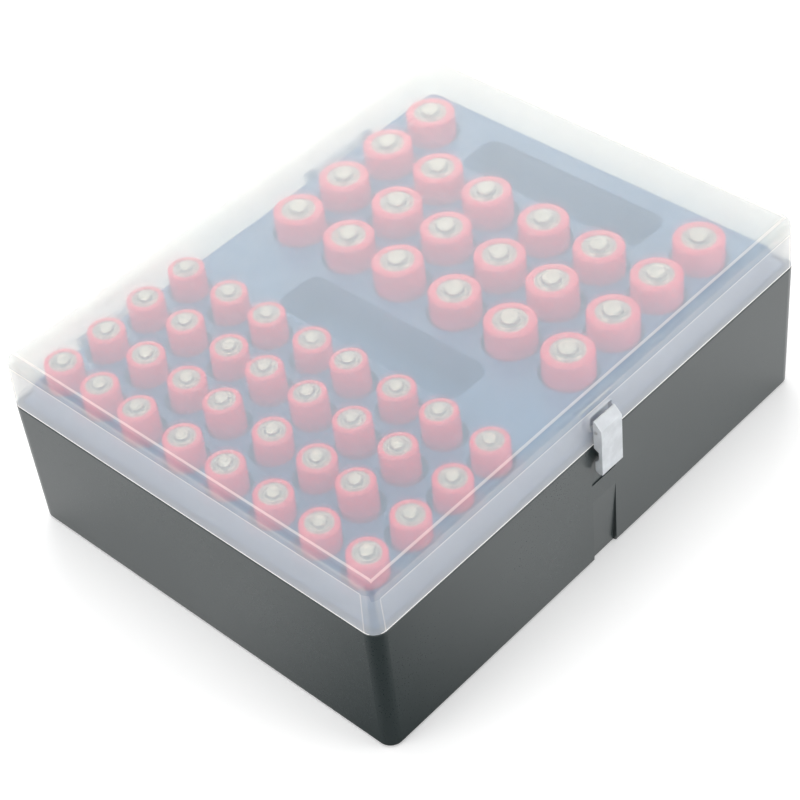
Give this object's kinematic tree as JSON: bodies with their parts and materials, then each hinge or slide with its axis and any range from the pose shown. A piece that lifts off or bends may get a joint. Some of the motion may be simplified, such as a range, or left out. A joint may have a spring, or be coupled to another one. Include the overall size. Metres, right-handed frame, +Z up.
{
  "type": "battery storage case",
  "caption": "Flat storage case for AA and AAA cells: dark base, drop-in tray of upright round wells, hinged milky lid and a front latch tab, filled with red-jacketed cells.",
  "frame": {"origin": "centre of the case's underside, in the plane that it stands on", "axes": "+X along the latch side from the AAA end to the AA end, +Y from the latch side to the hinge side, +Z up"},
  "size_m": [0.169, 0.139, 0.0595],
  "materials": {
    "case_black": "satin charcoal",
    "tray_black": "semi-gloss black",
    "lid_clear": "milky translucent",
    "latch_clear": "milky translucent",
    "pin_steel": "drawn wire",
    "jacket_red": "glossy shrink sleeve",
    "can_steel": "nickel-plated",
    "cell_core": "pressed powder",
    "seal_nylon": "moulded nylon"
  },
  "bodies": {
    "base": {"base_case": "case_black", "cell_tray": "tray_black", "hinge_pin_left": "pin_steel", "hinge_pin_right": "pin_steel", "aa_cans_1": "can_steel", "aa_cans_2": "can_steel", "aa_cans_3": "can_steel", "aa_cans_4": "can_steel", "aa_cores_1": "cell_core", "aa_cores_2": "cell_core", "aa_cores_3": "cell_core", "aa_cores_4": "cell_core", "aa_end_plates_1": "can_steel", "aa_end_plates_2": "can_steel", "aa_end_plates_3": "can_steel", "aa_end_plates_4": "can_steel", "aa_jackets_1": "jacket_red", "aa_jackets_2": "jacket_red", "aa_jackets_3": "jacket_red", "aa_jackets_4": "jacket_red", "aa_seals_1": "seal_nylon", "aa_seals_2": "seal_nylon", "aa_seals_3": "seal_nylon", "aa_seals_4": "seal_nylon", "aaa_cans_1": "can_steel", "aaa_cans_2": "can_steel", "aaa_cans_3": "can_steel", "aaa_cans_4": "can_steel", "aaa_cores_1": "cell_core", "aaa_cores_2": "cell_core", "aaa_cores_3": "cell_core", "aaa_cores_4": "cell_core", "aaa_end_plates_1": "can_steel", "aaa_end_plates_2": "can_steel", "aaa_end_plates_3": "can_steel", "aaa_end_plates_4": "can_steel", "aaa_jackets_1": "jacket_red", "aaa_jackets_2": "jacket_red", "aaa_jackets_3": "jacket_red", "aaa_jackets_4": "jacket_red", "aaa_seals_1": "seal_nylon", "aaa_seals_2": "seal_nylon", "aaa_seals_3": "seal_nylon", "aaa_seals_4": "seal_nylon"},
    "lid": {"lid": "lid_clear", "latch_pin": "pin_steel"},
    "latch": {"latch_tab": "latch_clear"}
  },
  "joints": [
    {"name": "lid_hinge", "type": "hinge", "parent": "base", "child": "lid", "pos_m": [0, 0.06815, 0.0437], "axis": [-1, 0, 0], "range_deg": [0, 110]},
    {"name": "latch_pivot", "type": "hinge", "parent": "lid", "child": "latch", "pos_m": [0, -0.06765, 0.0482], "axis": [-1, 0, 0], "range_deg": [0, 28]}
  ]
}
